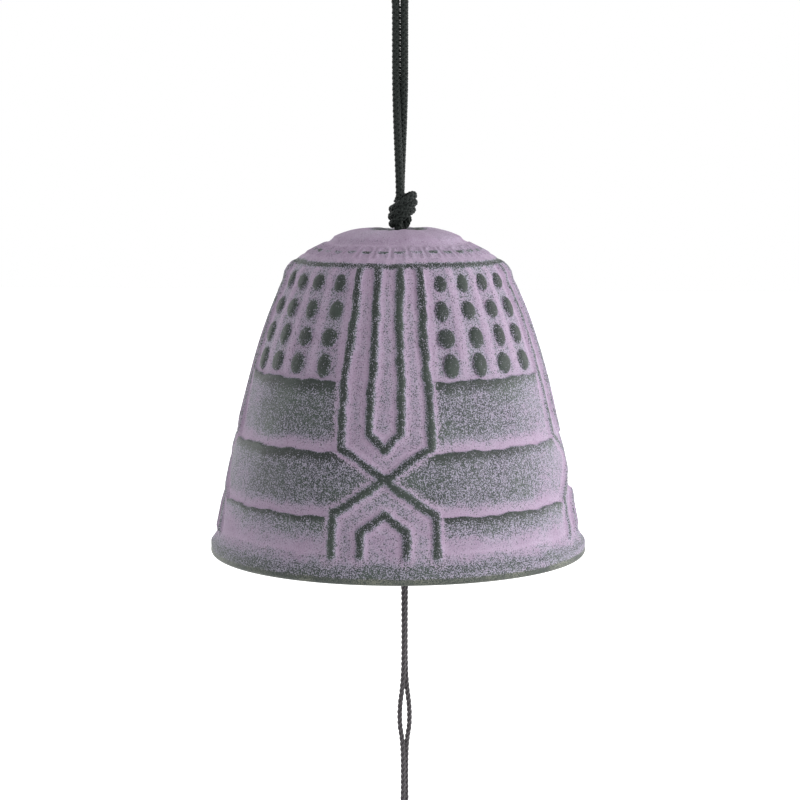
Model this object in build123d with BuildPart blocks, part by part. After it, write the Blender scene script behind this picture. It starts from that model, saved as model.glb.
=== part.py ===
from build123d import *
import os
from math import cos, pi, radians, sin, tan

os.makedirs("parts", exist_ok=True)

# Furin wind bell: a cast shell on a doubled cord, with a clapper and a paper strip on a thin string.
# Millimetres, +Z up. The origin is the point where the loop of the cord hangs on its hook.
# Heights named below are above the rim of the bell, and at() turns them into the part's frame.

# Bell shell
rim_radius = 33.5
lip_height = 2.0
lip_chamfer = 0.7
skirt_height = 4.6
lip_flare = 1.6
shoulder_drop = 6.3
shoulder_inset = 15.15
straight_share = 0.72
shoulder_power = 4.2
wall_spans = 6
wall = 3.0
rim_wall = 3.4
crown_height = 57.7
cap_inset = 7.15
cap_drop = 1.5
cap_step = 0.9
band_inset = 1.75
ring_rise = 0.55
crown_thickness = 4.4
dome_rise = 11.3
inner_spans = 3
dome_spans = 4
seat_radius = 5.5
hole_radius = 1.9
countersink_radius = 4.1
countersink_depth = 2.1

# Relief on the shell
quarters = 4
ridge_width = 1.45
ridge_rise = 0.55
outer_strap_angle = 15.75
inner_strap_angle = 5.55
inner_tip_height = 22.0
inner_bend_height = 24.6
cross_top_height = 22.2
cross_height = 17.2
house_height = 11.3
house_angle = 16.2
arch_angle = 7.0
arch_shoulder_height = 8.7
arch_tip_height = 11.1
tier_drop = 18.3
middle_tier_share = 0.65
lower_tier_share = 0.326
tier_rise = 0.45
boss_rows = 4
boss_columns = 4
boss_drop = 2.3
boss_row_pitch = 4.5
boss_column_angle = 13.3
boss_width = 2.3
boss_length = 3.35
boss_growth = 0.2
boss_rise = 0.55
boss_taper = 28
boss_sides = 8
petals = 32
petal_width = 2.3
petal_length = 3.0
petal_line = 0.55
petal_rise = 0.35
petal_sides = 6
relief_root = 0.8

# Hanging cord, doubled over the hook and knotted above and below the crown
hang_length = 52.3
cord_diameter = 1.5
cord_spacing = 1.72
hook_radius = 2.2
crown_knot_radius = 2.35
crown_knot_top = 6.9
knot_waist = 0.9
neck_drop = 11.6
loop_slack = 0.1
strand_lay = [(86, 0.0), (68, 0.18), (40, 0.39), (0, 0.57), (4, 1.0)]
inner_knot_radius = 3.2
inner_knot_length = 6.0
wrap_bevel = 0.25
ball_spans = 6
seat_clearance = 0.3
joint_clearance = 0.2
cord_sides = 8
arc_share = 0.45

# Thin string, clapper and wind strip
string_offset = 1.15
string_diameter = 0.8
string_spacing = 0.88
hitch_radius = 1.25
clapper_radius = 11.0
clapper_thickness = 4.6
clapper_edge = 3.0
clapper_hole_radius = 1.5
clapper_height = 8.2
clapper_knot_radius = 2.1
clapper_knot_length = 3.4
strip_knot_radius = 1.3
strip_knot_height = -48.9
strip_loop_radius = 3.2
pull_lay = [
    (0.30, 0.36, 0.0),
    (0.26, 0.38, 0.20),
    (0.15, 0.43, 0.34),
    (0.30, 0.35, 0.48),
    (0.60, 0.12, 0.58),
    (0.90, 0.00, 0.675),
    (0.70, 0.04, 0.78),
    (0.48, 0.06, 0.865),
    (0.44, 0.10, 1.0),
]
strip_width = 36.0
strip_length = 106.0
strip_thickness = 0.4
strip_hole_radius = 1.7
strip_hole_edge = 2.5

# Derived places
rim_z = -(hang_length + crown_height)
shoulder_height = crown_height - shoulder_drop
crown_underside = crown_height - crown_thickness
dome_foot = crown_underside - dome_rise
upper_tier = shoulder_height - tier_drop
middle_tier = upper_tier * middle_tier_share
lower_tier = upper_tier * lower_tier_share
cap_edge_height = crown_height - cap_drop
cap_foot_height = cap_edge_height - cap_step
skirt_radius = rim_radius - lip_flare
shoulder_radius = rim_radius - shoulder_inset
cap_radius = shoulder_radius - cap_inset
band_outer_radius = shoulder_radius - band_inset
cap_foot_radius = cap_radius + cap_step
ring_edge_radius = shoulder_radius - ring_rise
ring_edge_height = shoulder_height + 1.5 * ring_rise
band_edge_height = shoulder_height + 3 * ring_rise
half_quarter = 180 / quarters
cord_radius = cord_diameter / 2
string_radius = string_diameter / 2


def at(height):
    """The part's Z of a height above the rim."""
    return rim_z + height


def body_radius(height):
    """Radius of the cast wall under the relief, from the skirt up to the shoulder."""
    share = max(height - skirt_height, 0) / (shoulder_height - skirt_height)
    lean = straight_share * share + (1 - straight_share) * share**shoulder_power
    return skirt_radius - (skirt_radius - shoulder_radius) * lean


def front_x(angle, height):
    """Sideways distance, seen from the front, of a point of the wall at an angle from the front."""
    return body_radius(height) * sin(radians(angle))


def wall_points(rise, low, high):
    """Points of a line that runs up the wall at a steady rise above it."""
    heights = [low + (high - low) * step / wall_spans for step in range(wall_spans + 1)]
    return [(body_radius(height) + rise, at(height)) for height in heights]


def oval(length, width):
    """Corners of a many-sided oval that stands on end."""
    turns = [2 * pi * (corner + 0.5) / boss_sides for corner in range(boss_sides)]
    return [(width / 2 * cos(turn), length / 2 * sin(turn)) for turn in turns]


def ball_points(radius, height):
    """Points of a half circle, from its foot to its top, about a centre on the axis."""
    turns = [pi * step / ball_spans - pi / 2 for step in range(ball_spans + 1)]
    return [(radius * cos(turn), at(height) + radius * sin(turn)) for turn in turns]


def route_radii(points):
    """The largest arc for each corner of a cord's route."""
    radii = []
    for before, here, after in zip(points, points[1:], points[2:]):
        first = Vector(*here) - Vector(*before)
        second = Vector(*after) - Vector(*here)
        turn = radians(first.get_angle(second))
        radii.append(arc_share * min(first.length, second.length) / tan(turn / 2))
    return radii


def report_tube(name, path_length, tube, diameter, radii):
    """Prints the arcs of a cord and its volume against section times length."""
    section = cord_sides * sin(2 * pi / cord_sides) * diameter**2 / 8
    arcs = ", ".join(f"{radius:.1f}" for radius in radii)
    print(f"{name}: arc radii {arcs}; volume {tube.volume:.2f} of {section * path_length:.2f}")


def finish(builder, name):
    """Names a finished piece and writes it."""
    builder.part.label = name
    export_step(builder.part, f"parts/{name}.step")


# One strap: double ridges that cross above the rim, an inner tongue and a small arch
left_line = [
    (-front_x(outer_strap_angle, shoulder_height), at(shoulder_height)),
    (-front_x(outer_strap_angle, upper_tier), at(upper_tier)),
    (-front_x(outer_strap_angle, cross_top_height), at(cross_top_height)),
    (0, at(cross_height)),
    (front_x(house_angle, house_height), at(house_height)),
    (front_x(house_angle, skirt_height), at(skirt_height)),
]
right_line = [(-x, z) for x, z in left_line]
tongue_line = [
    (-front_x(inner_strap_angle, shoulder_height), at(shoulder_height)),
    (-front_x(inner_strap_angle, inner_bend_height), at(inner_bend_height)),
    (0, at(inner_tip_height)),
    (front_x(inner_strap_angle, inner_bend_height), at(inner_bend_height)),
    (front_x(inner_strap_angle, shoulder_height), at(shoulder_height)),
]
arch_line = [
    (-front_x(arch_angle, skirt_height), at(skirt_height)),
    (-front_x(arch_angle, arch_shoulder_height), at(arch_shoulder_height)),
    (0, at(arch_tip_height)),
    (front_x(arch_angle, arch_shoulder_height), at(arch_shoulder_height)),
    (front_x(arch_angle, skirt_height), at(skirt_height)),
]
with BuildPart() as strap:
    for ridge in (left_line, right_line, tongue_line, arch_line):
        with BuildSketch(Plane.XZ):
            with BuildLine():
                Polyline(*ridge)
            trace(line_width=ridge_width)
        extrude(amount=rim_radius)
    with BuildSketch(Plane.XZ):
        with BuildLine():
            outside = wall_points(ridge_rise, skirt_height, shoulder_height)
            inside = wall_points(-relief_root, skirt_height, shoulder_height)
            Polyline(*outside, *reversed(inside), close=True)
        make_face()
    revolve(axis=Axis.Z, mode=Mode.INTERSECT)

# Three tiers between two straps: each stands proud at its top edge and fades into the wall below
tier_arc = 2 * (half_quarter - outer_strap_angle)
with BuildPart() as tiers:
    for top, bottom in ((upper_tier, middle_tier), (middle_tier, lower_tier), (lower_tier, skirt_height)):
        start_plane = Plane.XZ.rotated((0, 0, outer_strap_angle))
        with BuildSketch(start_plane):
            with BuildLine():
                Polyline(
                    (body_radius(top) - relief_root, at(top)),
                    (body_radius(top) + tier_rise, at(top)),
                    (body_radius(bottom) - tier_rise / 4, at(bottom)),
                    (body_radius(bottom) - relief_root, at(bottom)),
                    close=True,
                )
            make_face()
        revolve(axis=Axis.Z, revolution_arc=tier_arc)

# The bosses of one field, rows of ovals that grow towards the bottom row
with BuildPart() as boss_field:
    for row in range(boss_rows):
        height = shoulder_height - boss_drop - boss_row_pitch * row
        slope = (body_radius(height - 1) - body_radius(height + 1)) / 2
        size = 1 + boss_growth * row / (boss_rows - 1)
        spread = 2 * boss_rise * tan(radians(boss_taper))
        for column in range(boss_columns):
            turn = half_quarter + boss_column_angle * (column - (boss_columns - 1) / 2)
            outward = Vector(cos(radians(turn)), sin(radians(turn)), slope)
            sideways = Vector(-sin(radians(turn)), cos(radians(turn)), 0)
            centre = Vector(outward.X, outward.Y, 0) * body_radius(height) + Vector(0, 0, at(height))
            face = Plane(origin=centre, x_dir=sideways, z_dir=outward).offset(-boss_rise)
            with BuildSketch(face):
                Polygon(*oval(boss_length * size + spread, boss_width * size + spread))
            extrude(amount=2 * boss_rise, taper=boss_taper)

# One petal of the band round the crown: an arched line on the sloping shoulder
band_slope = (cap_foot_height - band_edge_height) / (band_outer_radius - cap_foot_radius)
band_middle = (cap_foot_radius + band_outer_radius) / 2
band_height = (cap_foot_height + band_edge_height) / 2
with BuildPart() as petal:
    petal_face = Plane(
        origin=(band_middle, 0, at(band_height)),
        x_dir=(0, 1, 0),
        z_dir=(band_slope, 0, 1),
    ).offset(-petal_rise)
    with BuildSketch(petal_face):
        with BuildLine():
            Polyline(
                (-petal_width / 2, -petal_length / 2),
                (-petal_width / 2, petal_length / 6),
                (0, petal_length / 2),
                (petal_width / 2, petal_length / 6),
                (petal_width / 2, -petal_length / 2),
            )
        trace(line_width=petal_line)
        RegularPolygon(petal_line, petal_sides)
    extrude(amount=2 * petal_rise)

# Bell shell: a turned wall with a domed cap, shoulder ring and lip, and the relief cast on it
with BuildPart() as bell_shell:
    with BuildSketch(Plane.XZ):
        with BuildLine():
            hole_top = crown_height - countersink_depth
            sink = Line((hole_radius, at(hole_top)), (countersink_radius, at(crown_height)))
            cap_middle = ((countersink_radius + cap_radius) / 2, at(crown_height - cap_drop / 4))
            cap = ThreePointArc(sink @ 1, cap_middle, (cap_radius, at(cap_edge_height)))
            step = Line(cap @ 1, (cap_foot_radius, at(cap_foot_height)))
            band = Line(step @ 1, (band_outer_radius, at(band_edge_height)))
            ring_edge = Line(band @ 1, (ring_edge_radius, at(ring_edge_height)))
            ring_swell = (shoulder_radius + ring_rise / 2, at(shoulder_height + ring_rise / 2))
            ring = Line(ring_edge @ 1, ring_swell)
            ring_foot = Line(ring @ 1, (shoulder_radius, at(shoulder_height)))
            side = Polyline(*reversed(wall_points(0, skirt_height, shoulder_height)))
            flare_middle = ((skirt_radius + rim_radius) / 2, at((skirt_height + lip_height) / 2))
            flare = Line(side @ 1, flare_middle)
            flare_foot = Line(flare @ 1, (rim_radius, at(lip_height)))
            lip = Line(flare_foot @ 1, (rim_radius, at(lip_chamfer)))
            lip_edge = Line(lip @ 1, (rim_radius - lip_chamfer, at(0)))
            rim = Line(lip_edge @ 1, (rim_radius - rim_wall, at(0)))
            inner_heights = [dome_foot * step / inner_spans for step in range(1, inner_spans + 1)]
            inner_side = [(body_radius(height) - wall, at(height)) for height in inner_heights]
            dome_turns = [pi / 2 * step / dome_spans for step in range(1, dome_spans + 1)]
            dome_reach = inner_side[-1][0] - seat_radius
            dome = [
                (seat_radius + dome_reach * cos(turn), at(dome_foot + dome_rise * sin(turn)))
                for turn in dome_turns
            ]
            inner = Polyline(rim @ 1, *inner_side, *dome)
            seat = Line(inner @ 1, (hole_radius, at(crown_underside)))
            Line(seat @ 1, sink @ 0)
        make_face()
    revolve(axis=Axis.Z)
    with PolarLocations(0, quarters):
        add(strap.part)
        add(tiers.part)
        add(boss_field.part)
    with PolarLocations(0, petals):
        add(petal.part)
finish(bell_shell, "bell_shell")

# Hanging cord: two strands rise from the knot, turn side by side and go round the hook
knot_top_height = crown_height + crown_knot_top
neck_rise = hang_length - crown_knot_top - neck_drop
loop_reach = hook_radius + cord_diameter + loop_slack
half_spacing = cord_spacing / 2
strand = []
for turn, share in strand_lay:
    strand_x = half_spacing * cos(radians(turn))
    strand_y = half_spacing * sin(radians(turn))
    strand.append((strand_x, strand_y, knot_top_height + neck_rise * share))
left_strand = [(-x, -y, at(height)) for x, y, height in strand]
right_strand = [(x, y, at(height)) for x, y, height in reversed(strand)]
loop_top = [(-loop_reach, 0, cord_radius), (loop_reach, 0, cord_radius)]
cord_route = left_strand + loop_top + right_strand
cord_radii = route_radii(cord_route)
for corner in (len(left_strand) - 1, len(left_strand)):
    cord_radii[corner] = hook_radius + cord_radius
with BuildPart() as hang_cord:
    with BuildLine() as cord_path:
        FilletPolyline(*cord_route, radius=cord_radii)
    with BuildSketch(Plane(origin=cord_path.line @ 0, z_dir=cord_path.line % 0)):
        RegularPolygon(cord_radius, cord_sides)
    sweep()
    pivot_height = knot_top_height - crown_knot_radius
    with Locations((0, 0, at(pivot_height))):
        Sphere(crown_knot_radius + joint_clearance, mode=Mode.SUBTRACT)
finish(hang_cord, "hang_cord")
report_tube("hang_cord", cord_path.wire().length, hang_cord.part, cord_diameter, cord_radii)

# Crown knot: the doubled cord's wraps, round on top about the point that the bell swings on
knot_foot_radius = cord_spacing / 2 + cord_radius
with BuildPart() as crown_knot:
    with BuildSketch(Plane.XZ):
        with BuildLine():
            top_ball = ball_points(crown_knot_radius, pivot_height)
            waist = (crown_knot_radius * knot_waist, at((crown_height + pivot_height) / 2))
            low_wrap = (crown_knot_radius, at(crown_height + cord_radius))
            foot = (knot_foot_radius, at(crown_height))
            Polyline((0, at(crown_height)), foot, low_wrap, waist, *top_ball[ball_spans // 2 :], close=True)
        make_face()
    revolve(axis=Axis.Z)
finish(crown_knot, "crown_knot")

# Through cord: the two strands inside the crown's hole
inner_knot_top = crown_underside - seat_clearance
with BuildPart() as through_cord:
    with BuildSketch(Plane.XY.offset(at(inner_knot_top))):
        with GridLocations(0, cord_spacing, 1, 2):
            RegularPolygon(cord_radius, cord_sides)
    extrude(amount=crown_height - inner_knot_top)
finish(through_cord, "through_cord")

# Inner knot: two fat wraps under the crown, which carry the bell
inner_knot_foot = inner_knot_top - inner_knot_length
with BuildPart() as inner_knot:
    with BuildSketch(Plane.XZ):
        with BuildLine():
            wrap = inner_knot_length / 2
            core_radius = inner_knot_radius - wrap / 2
            edges = [(core_radius, 0), (inner_knot_radius, wrap_bevel), (inner_knot_radius, 1 - wrap_bevel)]
            turns = [(radius, part + row) for row in (0, 1) for radius, part in edges]
            outline = [(radius, at(inner_knot_top - wrap * drop)) for radius, drop in turns]
            foot = (core_radius, at(inner_knot_foot))
            Polyline((0, at(inner_knot_top)), *outline, foot, (0, at(inner_knot_foot)), close=True)
        make_face()
    revolve(axis=Axis.Z)
finish(inner_knot, "inner_knot")

# String hitch: the thin string's turn under the inner knot, which the clapper swings on
hitch_height = inner_knot_foot - seat_clearance - hitch_radius
string_axis = Axis((string_offset, 0, 0), (0, 0, 1))
with BuildPart() as string_hitch:
    with BuildSketch(Plane.XZ):
        with BuildLine():
            ball = ball_points(hitch_radius, hitch_height)
            Polyline(*[(string_offset + x, z) for x, z in ball], close=True)
        make_face()
    revolve(axis=string_axis)
finish(string_hitch, "string_hitch")

# Clapper string: two strands from the hitch down through the clapper
with BuildPart() as clapper_string:
    with BuildSketch(Plane.XY.offset(at(clapper_height))):
        with Locations((string_offset, 0)):
            with GridLocations(string_spacing, 0, 2, 1):
                RegularPolygon(string_radius, cord_sides)
    extrude(amount=hitch_height - clapper_height)
    with Locations((string_offset, 0, at(hitch_height))):
        Sphere(hitch_radius + joint_clearance, mode=Mode.SUBTRACT)
finish(clapper_string, "clapper_string")

# Clapper: a cast disc, thicker in the middle, with a bevelled edge and a hole for the string
edge_bevel = clapper_edge / 2
with BuildPart() as clapper:
    with BuildSketch(Plane.XZ):
        with BuildLine():
            disc_middle = clapper_height + clapper_thickness / 2
            hole_x = string_offset + clapper_hole_radius
            rim_x = string_offset + clapper_radius
            under = [
                (hole_x, at(clapper_height)),
                (rim_x - edge_bevel, at(disc_middle - edge_bevel)),
                (rim_x, at(disc_middle - edge_bevel / 2)),
            ]
            over = [(x, 2 * at(disc_middle) - z) for x, z in reversed(under)]
            Polyline(*under, *over, close=True)
        make_face()
    revolve(axis=string_axis)
finish(clapper, "clapper")

# Clapper knot: the knot that carries the clapper
clapper_knot_foot = clapper_height - clapper_knot_length
with BuildPart() as clapper_knot:
    with BuildSketch(Plane.XZ):
        with BuildLine():
            waist_x = string_offset + clapper_knot_radius
            foot_x = string_offset + string_spacing
            Polyline(
                (string_offset, at(clapper_height)),
                (waist_x - string_radius, at(clapper_height)),
                (waist_x, at(clapper_height - string_diameter)),
                (waist_x - string_radius, at(clapper_height - 2 * string_diameter)),
                (foot_x, at(clapper_knot_foot)),
                (string_offset, at(clapper_knot_foot)),
                close=True,
            )
        make_face()
    revolve(axis=string_axis)
finish(clapper_knot, "clapper_knot")

# Pull string: the two strands below the clapper, which open into a narrow eye and close again
pull_foot = strip_knot_height + strip_knot_radius
pull_length = clapper_knot_foot - pull_foot
strand_offsets = [(x, y, clapper_knot_foot - pull_length * share) for x, y, share in pull_lay]
with BuildPart() as pull_string:
    for side_sign in (-1, 1):
        pull_route = [
            (string_offset + side_sign * x, side_sign * y, at(height)) for x, y, height in strand_offsets
        ]
        pull_radii = route_radii(pull_route)
        with BuildLine() as pull_path:
            FilletPolyline(*pull_route, radius=pull_radii)
        with BuildSketch(Plane(origin=pull_path.line @ 0, z_dir=pull_path.line % 0)):
            RegularPolygon(string_radius, cord_sides)
        sweep()
    with BuildSketch(Plane.XY.offset(at(clapper_knot_foot))):
        Circle(rim_radius)
    extrude(amount=2 * string_radius, mode=Mode.SUBTRACT)
    with BuildSketch(Plane.XY.offset(at(pull_foot))):
        Circle(rim_radius)
    extrude(amount=-2 * string_radius, mode=Mode.SUBTRACT)
finish(pull_string, "pull_string")
report_tube("pull_string", 2 * pull_path.wire().length, pull_string.part, string_diameter, pull_radii)

# Strip knot: a small round knot below the pull string
with BuildPart() as strip_knot:
    with BuildSketch(Plane.XZ):
        with BuildLine():
            ball = ball_points(strip_knot_radius, strip_knot_height - joint_clearance)
            Polyline(*[(string_offset + x, z) for x, z in ball], close=True)
        make_face()
    revolve(axis=string_axis)
finish(strip_knot, "strip_knot")

# Strip loop: a ring of string that hangs from the strip knot and passes through the strip's hole
loop_centre_height = strip_knot_height - joint_clearance - strip_knot_radius - strip_loop_radius
loop_axis = Axis((string_offset, 0, at(loop_centre_height)), (1, 0, 0))
with BuildPart() as strip_loop:
    with BuildSketch(Plane.XZ):
        with Locations((string_offset, at(loop_centre_height + strip_loop_radius))):
            RegularPolygon(string_radius, cord_sides)
    revolve(axis=loop_axis)
    add(strip_knot.part, mode=Mode.SUBTRACT)
finish(strip_loop, "strip_loop")

# Wind strip: a plain paper strip with a punched hole, which catches the wind
strip_pivot_height = loop_centre_height - strip_loop_radius
strip_hole_top = strip_pivot_height + string_radius + seat_clearance
strip_hole_height = strip_hole_top - strip_hole_radius
strip_top = strip_hole_top + strip_hole_edge
with BuildPart() as wind_strip:
    with BuildSketch(Plane.XZ.offset(-strip_thickness / 2)):
        with Locations((string_offset, at(strip_top - strip_length / 2))):
            Rectangle(strip_width, strip_length)
        with Locations((string_offset, at(strip_hole_height))):
            Circle(strip_hole_radius, mode=Mode.SUBTRACT)
    extrude(amount=strip_thickness)
finish(wind_strip, "wind_strip")

print(f"rim z {at(0):.2f}, bell swing z {at(pivot_height):.2f}, clapper swing z {at(hitch_height):.2f}")
print(f"strip swing z {at(strip_pivot_height):.2f}, strip foot z {at(strip_top - strip_length):.2f}")
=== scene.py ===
from math import cos, pi, radians, sin

import bpy
import numpy as np
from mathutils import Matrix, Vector


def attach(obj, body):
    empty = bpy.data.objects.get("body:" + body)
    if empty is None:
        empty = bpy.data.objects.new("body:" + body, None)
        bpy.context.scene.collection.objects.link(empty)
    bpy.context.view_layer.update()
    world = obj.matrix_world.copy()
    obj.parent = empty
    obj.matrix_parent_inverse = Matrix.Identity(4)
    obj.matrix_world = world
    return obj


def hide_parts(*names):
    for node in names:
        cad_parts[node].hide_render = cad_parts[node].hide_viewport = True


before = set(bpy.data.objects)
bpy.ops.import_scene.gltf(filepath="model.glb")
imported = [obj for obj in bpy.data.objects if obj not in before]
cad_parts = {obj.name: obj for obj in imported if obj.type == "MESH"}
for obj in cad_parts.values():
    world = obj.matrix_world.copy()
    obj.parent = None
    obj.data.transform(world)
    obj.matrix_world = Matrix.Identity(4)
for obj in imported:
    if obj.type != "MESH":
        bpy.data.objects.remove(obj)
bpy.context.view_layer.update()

# Furin wind bell. Lengths are written in millimetres and turned into metres by MM.
MM = 0.001
RIM_Z = -110.0
scene = bpy.context.scene


def smooth(low, high, value):
    """Eases from 0 at low to 1 at high."""
    share = np.clip((value - low) / (high - low), 0.0, 1.0)
    return share * share * (3.0 - 2.0 * share)


# Node helpers

def add_node(tree, kind, links=None, **settings):
    """Adds a node, sets its properties, and fills or links its named or numbered inputs."""
    node = tree.nodes.new(kind)
    for name, value in settings.items():
        setattr(node, name, value)
    for name, value in (links or {}).items():
        socket = node.inputs[name]
        if isinstance(value, bpy.types.NodeSocket):
            tree.links.new(value, socket)
        else:
            socket.default_value = value
    return node


def math_node(tree, operation, first, second=0.0, third=0.0, clamp=False):
    """One step of arithmetic."""
    node = add_node(tree, "ShaderNodeMath", {0: first, 1: second, 2: third}, operation=operation)
    node.use_clamp = clamp
    return node.outputs[0]


def vector_node(tree, operation, links):
    """One step of vector arithmetic."""
    return add_node(tree, "ShaderNodeVectorMath", links, operation=operation).outputs[0]


def ease(tree, value, low, high):
    """Smooth step of a value, from 0 at low to 1 at high."""
    node = add_node(tree, "ShaderNodeMapRange", {"Value": value, "From Min": low, "From Max": high})
    node.interpolation_type = "SMOOTHSTEP"
    return node.outputs["Result"]


def mix_colour(tree, share, first, second):
    """Mix of two colours."""
    node = tree.nodes.new("ShaderNodeMix")
    node.data_type = "RGBA"
    for socket, value in ((node.inputs[0], share), (node.inputs[6], first), (node.inputs[7], second)):
        if isinstance(value, bpy.types.NodeSocket):
            tree.links.new(value, socket)
        else:
            socket.default_value = value
    return node.outputs[2]


def noise(tree, vector, scale, detail, roughness):
    """Noise in 0 to 1, at a scale per metre."""
    links = {"Vector": vector, "Scale": scale, "Detail": detail, "Roughness": roughness}
    return add_node(tree, "ShaderNodeTexNoise", links).outputs["Fac"]


def srgb(red, green, blue):
    """Linear colour of an 8-bit one."""
    shares = [value / 255 for value in (red, green, blue)]
    return [s / 12.92 if s <= 0.04045 else ((s + 0.055) / 1.055) ** 2.4 for s in shares] + [1.0]


def new_group(name, inputs, outputs):
    """An empty shader group with a vector input, float inputs and float outputs."""
    group = bpy.data.node_groups.new(name, "ShaderNodeTree")
    group.interface.new_socket("Vector", in_out="INPUT", socket_type="NodeSocketVector")
    for label in inputs:
        group.interface.new_socket(label, in_out="INPUT", socket_type="NodeSocketFloat")
    for label in outputs:
        group.interface.new_socket(label, in_out="OUTPUT", socket_type="NodeSocketFloat")
    return group, group.nodes.new("NodeGroupInput"), group.nodes.new("NodeGroupOutput")


def new_material(name):
    """A material with an empty Principled shader and Object coordinates."""
    material = bpy.data.materials.new(name)
    material.use_nodes = True
    tree = material.node_tree
    shader = tree.nodes["Principled BSDF"]
    place = tree.nodes.new("ShaderNodeTexCoord").outputs["Object"]
    return material, tree, shader, place


def place_group(tree, group, place, **values):
    """A shader group with its own values, written with _ for spaces."""
    node = tree.nodes.new("ShaderNodeGroup")
    node.node_tree = group
    tree.links.new(place, node.inputs["Vector"])
    for name, value in values.items():
        node.inputs[name.replace("_", " ")].default_value = value
    return node


def bump_into(tree, shader, height, strength, distance):
    """Bump from a height."""
    links = {"Height": height, "Strength": strength, "Distance": distance}
    bump = add_node(tree, "ShaderNodeBump", links)
    tree.links.new(bump.outputs["Normal"], shader.inputs["Normal"])


# Shared effects

PATCH_SCALE = 130.0
cast_grain, group_in, group_out = new_group(
    "cast_grain", ["Grain Size", "Speckle Size"], ["Grain", "Speckle", "Patches"]
)
place = group_in.outputs["Vector"]
grain_scale = math_node(cast_grain, "DIVIDE", 1000.0, group_in.outputs["Grain Size"])
speckle_scale = math_node(cast_grain, "DIVIDE", 1000.0, group_in.outputs["Speckle Size"])
fine = noise(cast_grain, place, grain_scale, 3.0, 0.6)
speckle = noise(cast_grain, place, speckle_scale, 2.0, 0.55)
patches = noise(cast_grain, place, PATCH_SCALE, 3.0, 0.55)
cast_grain.links.new(fine, group_out.inputs["Grain"])
cast_grain.links.new(speckle, group_out.inputs["Speckle"])
cast_grain.links.new(patches, group_out.inputs["Patches"])

fibre_tone, group_in, group_out = new_group("fibre_tone", ["Fibre Size", "Shade Size"], ["Fibre", "Shade"])
place = group_in.outputs["Vector"]
fibre_scale = math_node(fibre_tone, "DIVIDE", 1000.0, group_in.outputs["Fibre Size"])
shade_scale = math_node(fibre_tone, "DIVIDE", 1000.0, group_in.outputs["Shade Size"])
fibre_tone.links.new(noise(fibre_tone, place, fibre_scale, 2.0, 0.6), group_out.inputs["Fibre"])
fibre_tone.links.new(noise(fibre_tone, place, shade_scale, 1.0, 0.5), group_out.inputs["Shade"])


# Materials

# PAINTED_HIGHLIGHT_LILAC is painted highlight: the lit edges and strips of the relief, drawn lighter in the
# paint.
LILAC, LIGHT_LILAC, PAINTED_HIGHLIGHT_LILAC = srgb(152, 132, 156), srgb(164, 147, 170), srgb(184, 161, 187)
GREY_FILM, PAINT_DUST = srgb(141, 141, 158), srgb(194, 189, 202)
# OLIVE_IRON_PAINTED_SHEEN, the lighter iron patches, is partly the iron's own patchy tone and partly
# painted sheen for greenish highlights.
RUBBED_IRON, OLIVE_IRON_PAINTED_SHEEN, DEEP_IRON = srgb(31, 40, 38), srgb(60, 71, 64), srgb(15, 25, 22)
WORN_DARK, WORN_LIGHT, EDGE_IRON = srgb(64, 70, 67), srgb(116, 118, 106), srgb(50, 57, 55)
BARE_DARK, BARE_LIGHT = srgb(52, 57, 56), srgb(80, 86, 85)
BRAID_DARK, BRAID_LIGHT = srgb(6, 11, 9), srgb(33, 44, 40)
STRING_DARK, STRING_LIGHT = srgb(46, 44, 47), srgb(138, 132, 136)
PAPER_DARK, PAPER_LIGHT, PAPER_FIBRE = srgb(232, 226, 211), srgb(243, 239, 228), srgb(211, 199, 174)


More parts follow.
